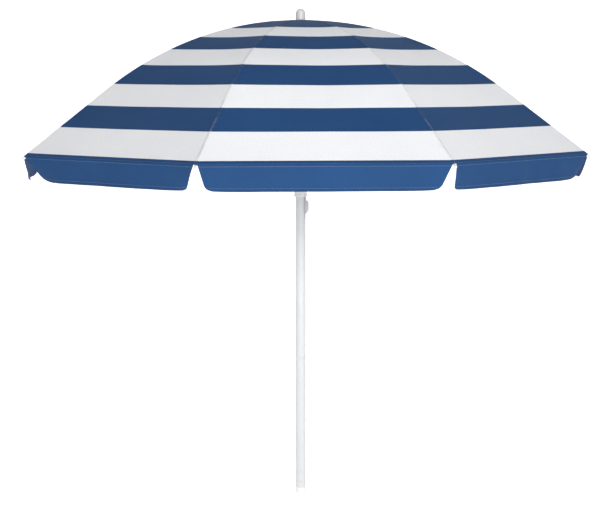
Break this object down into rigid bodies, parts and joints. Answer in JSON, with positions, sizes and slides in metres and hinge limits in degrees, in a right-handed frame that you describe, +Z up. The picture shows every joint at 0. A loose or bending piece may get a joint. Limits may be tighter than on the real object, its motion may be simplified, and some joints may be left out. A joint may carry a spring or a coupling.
{
  "type": "beach umbrella",
  "caption": "Folding beach umbrella with a ribbed navy and white striped canopy, hanging valance flaps and a two-piece white steel pole.",
  "frame": {"origin": "bottom centre of the foot plug, on the pole's axis", "axes": "+Z up the pole; the middle of one gore faces -Y, the side that the pictured view looks at"},
  "size_m": [1.6748, 1.6748, 1.543],
  "materials": {
    "canopy_fabric": "woven polyester, navy and white bands",
    "pole_paint": "white gloss powder coat",
    "white_plastic": "moulded, satin",
    "rib_steel": "white coated steel wire",
    "steel": "zinc plated",
    "catch_steel": "spring steel"
  },
  "bodies": {
    "lower_pole": {"lower_pole": "pole_paint", "foot_plug": "white_plastic", "pole_spigot": "steel", "spigot_rivet": "steel"},
    "upper_pole": {"upper_pole": "pole_paint", "crown": "white_plastic", "crown_wire": "steel", "catch_pin": "steel", "canopy_washer": "white_plastic", "finial": "white_plastic"},
    "catch": {"runner_catch": "catch_steel"},
    "runner": {"runner": "white_plastic", "runner_wire": "steel"},
    "rib_1": {"rib_1": "rib_steel", "rib_tip_1": "white_plastic", "rib_bracket_1": "steel", "canopy_1": "canopy_fabric"},
    "stretcher_1": {"stretcher_1": "rib_steel"},
    "rib_2": {"rib_2": "rib_steel", "rib_tip_2": "white_plastic", "rib_bracket_2": "steel", "canopy_2": "canopy_fabric"},
    "stretcher_2": {"stretcher_2": "rib_steel"},
    "rib_3": {"rib_3": "rib_steel", "rib_tip_3": "white_plastic", "rib_bracket_3": "steel", "canopy_3": "canopy_fabric"},
    "stretcher_3": {"stretcher_3": "rib_steel"},
    "rib_4": {"rib_4": "rib_steel", "rib_tip_4": "white_plastic", "rib_bracket_4": "steel", "canopy_4": "canopy_fabric"},
    "stretcher_4": {"stretcher_4": "rib_steel"},
    "rib_5": {"rib_5": "rib_steel", "rib_tip_5": "white_plastic", "rib_bracket_5": "steel", "canopy_5": "canopy_fabric"},
    "stretcher_5": {"stretcher_5": "rib_steel"},
    "rib_6": {"rib_6": "rib_steel", "rib_tip_6": "white_plastic", "rib_bracket_6": "steel", "canopy_6": "canopy_fabric"},
    "stretcher_6": {"stretcher_6": "rib_steel"},
    "rib_7": {"rib_7": "rib_steel", "rib_tip_7": "white_plastic", "rib_bracket_7": "steel", "canopy_7": "canopy_fabric"},
    "stretcher_7": {"stretcher_7": "rib_steel"},
    "rib_8": {"rib_8": "rib_steel", "rib_tip_8": "white_plastic", "rib_bracket_8": "steel", "canopy_8": "canopy_fabric"},
    "stretcher_8": {"stretcher_8": "rib_steel"}
  },
  "joints": [
    {"name": "pole_pull_apart", "type": "slide", "parent": "lower_pole", "child": "upper_pole", "axis": [0, 0, 1], "range_m": [0, 0.09]},
    {"name": "catch_press", "type": "hinge", "parent": "upper_pole", "child": "catch", "pos_m": [0.00424, -0.00424, 0.888], "axis": [-0.7071, -0.7071, 0], "range_deg": [0, 17], "stiffness_Nm_per_rad": 0.5},
    {"name": "runner_slide", "type": "slide", "parent": "upper_pole", "child": "runner", "axis": [0, 0, -1], "range_m": [0, 0.4609], "deforming": ["canopy_1", "canopy_2", "canopy_3", "canopy_4", "canopy_5", "canopy_6", "canopy_7", "canopy_8", "runner_catch"]},
    {"name": "rib_1_fold", "type": "hinge", "parent": "upper_pole", "child": "rib_1", "pos_m": [0.02402, 0.00995, 1.498], "axis": [-0.3827, 0.9239, 0], "range_deg": [0, 61]},
    {"name": "stretcher_1_fold", "type": "hinge", "parent": "rib_1", "child": "stretcher_1", "pos_m": [0.39748, 0.16464, 1.40171], "axis": [-0.3827, 0.9239, 0], "range_deg": [-94.8, 0]},
    {"name": "rib_2_fold", "type": "hinge", "parent": "upper_pole", "child": "rib_2", "pos_m": [0.00995, 0.02402, 1.498], "axis": [-0.9239, 0.3827, 0], "range_deg": [0, 61]},
    {"name": "stretcher_2_fold", "type": "hinge", "parent": "rib_2", "child": "stretcher_2", "pos_m": [0.16464, 0.39748, 1.40171], "axis": [-0.9239, 0.3827, 0], "range_deg": [-94.8, 0]},
    {"name": "rib_3_fold", "type": "hinge", "parent": "upper_pole", "child": "rib_3", "pos_m": [-0.00995, 0.02402, 1.498], "axis": [-0.9239, -0.3827, 0], "range_deg": [0, 61]},
    {"name": "stretcher_3_fold", "type": "hinge", "parent": "rib_3", "child": "stretcher_3", "pos_m": [-0.16464, 0.39748, 1.40171], "axis": [-0.9239, -0.3827, 0], "range_deg": [-94.8, 0]},
    {"name": "rib_4_fold", "type": "hinge", "parent": "upper_pole", "child": "rib_4", "pos_m": [-0.02402, 0.00995, 1.498], "axis": [-0.3827, -0.9239, 0], "range_deg": [0, 61]},
    {"name": "stretcher_4_fold", "type": "hinge", "parent": "rib_4", "child": "stretcher_4", "pos_m": [-0.39748, 0.16464, 1.40171], "axis": [-0.3827, -0.9239, 0], "range_deg": [-94.8, 0]},
    {"name": "rib_5_fold", "type": "hinge", "parent": "upper_pole", "child": "rib_5", "pos_m": [-0.02402, -0.00995, 1.498], "axis": [0.3827, -0.9239, 0], "range_deg": [0, 61]},
    {"name": "stretcher_5_fold", "type": "hinge", "parent": "rib_5", "child": "stretcher_5", "pos_m": [-0.39748, -0.16464, 1.40171], "axis": [0.3827, -0.9239, 0], "range_deg": [-94.8, 0]},
    {"name": "rib_6_fold", "type": "hinge", "parent": "upper_pole", "child": "rib_6", "pos_m": [-0.00995, -0.02402, 1.498], "axis": [0.9239, -0.3827, 0], "range_deg": [0, 61]},
    {"name": "stretcher_6_fold", "type": "hinge", "parent": "rib_6", "child": "stretcher_6", "pos_m": [-0.16464, -0.39748, 1.40171], "axis": [0.9239, -0.3827, 0], "range_deg": [-94.8, 0]},
    {"name": "rib_7_fold", "type": "hinge", "parent": "upper_pole", "child": "rib_7", "pos_m": [0.00995, -0.02402, 1.498], "axis": [0.9239, 0.3827, 0], "range_deg": [0, 61]},
    {"name": "stretcher_7_fold", "type": "hinge", "parent": "rib_7", "child": "stretcher_7", "pos_m": [0.16464, -0.39748, 1.40171], "axis": [0.9239, 0.3827, 0], "range_deg": [-94.8, 0]},
    {"name": "rib_8_fold", "type": "hinge", "parent": "upper_pole", "child": "rib_8", "pos_m": [0.02402, -0.00995, 1.498], "axis": [0.3827, 0.9239, 0], "range_deg": [0, 61]},
    {"name": "stretcher_8_fold", "type": "hinge", "parent": "rib_8", "child": "stretcher_8", "pos_m": [0.39748, -0.16464, 1.40171], "axis": [0.3827, 0.9239, 0], "range_deg": [-94.8, 0]}
  ],
  "couplings": [
    {"joint": "rib_1_fold", "follows": "runner_slide", "rad_per_m": 2.2986},
    {"joint": "stretcher_1_fold", "follows": "runner_slide", "rad_per_m": -3.5795},
    {"joint": "rib_2_fold", "follows": "runner_slide", "rad_per_m": 2.2986},
    {"joint": "stretcher_2_fold", "follows": "runner_slide", "rad_per_m": -3.5795},
    {"joint": "rib_3_fold", "follows": "runner_slide", "rad_per_m": 2.2986},
    {"joint": "stretcher_3_fold", "follows": "runner_slide", "rad_per_m": -3.5795},
    {"joint": "rib_4_fold", "follows": "runner_slide", "rad_per_m": 2.2986},
    {"joint": "stretcher_4_fold", "follows": "runner_slide", "rad_per_m": -3.5795},
    {"joint": "rib_5_fold", "follows": "runner_slide", "rad_per_m": 2.2986},
    {"joint": "stretcher_5_fold", "follows": "runner_slide", "rad_per_m": -3.5795},
    {"joint": "rib_6_fold", "follows": "runner_slide", "rad_per_m": 2.2986},
    {"joint": "stretcher_6_fold", "follows": "runner_slide", "rad_per_m": -3.5795},
    {"joint": "rib_7_fold", "follows": "runner_slide", "rad_per_m": 2.2986},
    {"joint": "stretcher_7_fold", "follows": "runner_slide", "rad_per_m": -3.5795},
    {"joint": "rib_8_fold", "follows": "runner_slide", "rad_per_m": 2.2986},
    {"joint": "stretcher_8_fold", "follows": "runner_slide", "rad_per_m": -3.5795}
  ]
}
